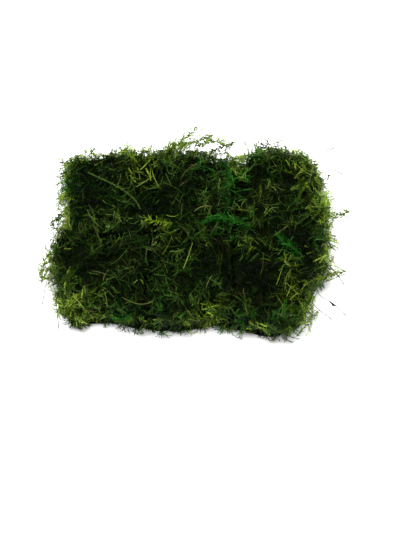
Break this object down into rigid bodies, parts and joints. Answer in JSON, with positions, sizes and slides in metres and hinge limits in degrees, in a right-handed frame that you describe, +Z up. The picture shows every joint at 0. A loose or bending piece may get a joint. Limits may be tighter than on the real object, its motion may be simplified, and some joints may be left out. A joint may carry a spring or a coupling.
{
  "type": "moss clump",
  "caption": "Rectangular mat of tangled feathery moss with a flat underside and loose shoots at its edges, for resting on a surface.",
  "frame": {"origin": "centre of the bounding box's bottom face, on the surface the clump rests on", "axes": "+X along the mat's length, +Y towards its far edge, where the clump is uneven and a spray stands up, +Z up"},
  "size_m": [0.1726, 0.1164, 0.0374],
  "materials": {
    "moss": "matte",
    "bright_moss": "matte",
    "yellow_moss": "matte",
    "olive_moss": "matte",
    "tan_stem": "matte",
    "brown_stem": "matte"
  },
  "bodies": {
    "root": {"far_left_tuft": "moss", "far_middle_tuft": "moss", "far_right_tuft": "moss", "near_left_tuft": "moss", "near_middle_tuft": "moss", "near_right_tuft": "moss", "bright_shoot_middle": "bright_moss", "bright_shoot_right": "bright_moss", "comb_shoot": "yellow_moss", "pale_stalk": "yellow_moss", "right_sprig": "yellow_moss", "stray_shoot": "yellow_moss", "near_arc": "yellow_moss", "left_sprig": "yellow_moss", "left_low_shoot": "yellow_moss", "long_leafy_shoot": "olive_moss", "far_spray_stem": "olive_moss", "far_spray_branch": "olive_moss", "far_spray_shoot": "olive_moss", "corner_whisker": "olive_moss", "bud_shoot": "olive_moss", "left_shoot": "olive_moss", "tan_bent_stem": "tan_stem", "pale_curved_stem": "tan_stem", "far_spray_twig": "brown_stem", "corner_stem": "brown_stem", "right_whisker": "brown_stem", "stray_stem": "brown_stem", "low_stem": "brown_stem", "low_arc": "brown_stem", "left_arc": "brown_stem", "left_leaf": "brown_stem", "dark_twig": "brown_stem"}
  },
  "joints": []
}
